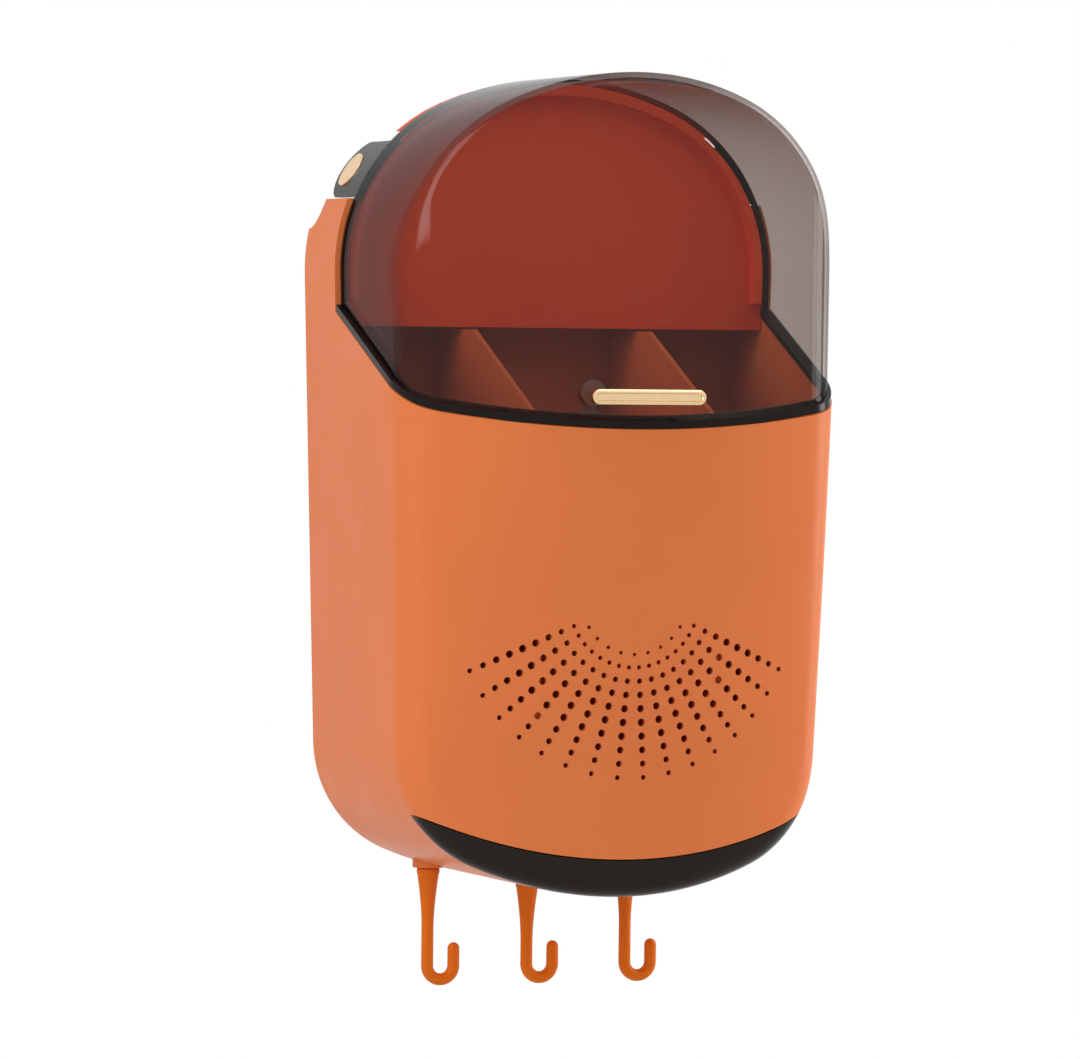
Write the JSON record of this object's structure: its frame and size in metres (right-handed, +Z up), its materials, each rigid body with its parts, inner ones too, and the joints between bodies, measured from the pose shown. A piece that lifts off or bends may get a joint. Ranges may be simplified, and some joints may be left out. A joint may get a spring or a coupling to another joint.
{
  "type": "chopstick holder",
  "caption": "Wall-hung arched plastic chopstick holder with a smoked flip lid, brass handle, divided compartments, slide-out drip tray and swivel hooks.",
  "frame": {"origin": "middle of the adhesive pad's face that meets the wall", "axes": "+Z up, +Y into the wall, the front faces -Y, +X to the right seen from the front"},
  "size_m": [0.19, 0.1534, 0.372],
  "materials": {
    "shell": "satin moulded plastic",
    "panel": "satin moulded plastic",
    "hook": "satin moulded plastic",
    "lid_smoke": "clear smoked plastic, polished",
    "tray_smoke": "smoked plastic, polished",
    "brass": "polished",
    "steel": "plain",
    "washer": "plain",
    "bumper": "soft",
    "plate": "plain",
    "pad": "foam"
  },
  "bodies": {
    "wall_plate": {"wall_plate": "plate", "adhesive_pad": "pad"},
    "holder": {"body_shell": "shell", "back_panel": "panel", "back_panel_screws": "steel", "lid_bumpers": "bumper", "divider_left": "panel", "divider_right": "panel", "drain_grid": "shell", "hinge_washer_left": "washer", "hinge_washer_right": "washer"},
    "lid": {"lid": "lid_smoke", "handle_bar": "brass", "handle_screws": "steel", "hinge_pin_left": "steel", "hinge_pin_right": "steel", "pin_cap_left": "brass", "pin_cap_right": "brass"},
    "tray": {"drip_tray": "tray_smoke"},
    "hook_left": {"hook_left": "hook", "hook_clip_left": "steel"},
    "hook_centre": {"hook_centre": "hook", "hook_clip_centre": "steel"},
    "hook_right": {"hook_right": "hook", "hook_clip_right": "steel"}
  },
  "joints": [
    {"name": "holder_lift", "type": "slide", "parent": "wall_plate", "child": "holder", "axis": [0, 0, 1], "range_m": [0, 0.012]},
    {"name": "lid_hinge", "type": "hinge", "parent": "holder", "child": "lid", "pos_m": [0, -0.022, 0.09], "axis": [-1, 0, 0], "range_deg": [0, 60]},
    {"name": "tray_slide", "type": "slide", "parent": "holder", "child": "tray", "axis": [0, -1, 0], "range_m": [0, 0.09]},
    {"name": "hook_left_swivel", "type": "hinge", "parent": "holder", "child": "hook_left", "pos_m": [-0.0433, -0.018, -0.2], "axis": [0, 0, 1], "continuous": true},
    {"name": "hook_centre_swivel", "type": "hinge", "parent": "holder", "child": "hook_centre", "pos_m": [0, -0.018, -0.2], "axis": [0, 0, 1], "continuous": true},
    {"name": "hook_right_swivel", "type": "hinge", "parent": "holder", "child": "hook_right", "pos_m": [0.0433, -0.018, -0.2], "axis": [0, 0, 1], "continuous": true}
  ]
}
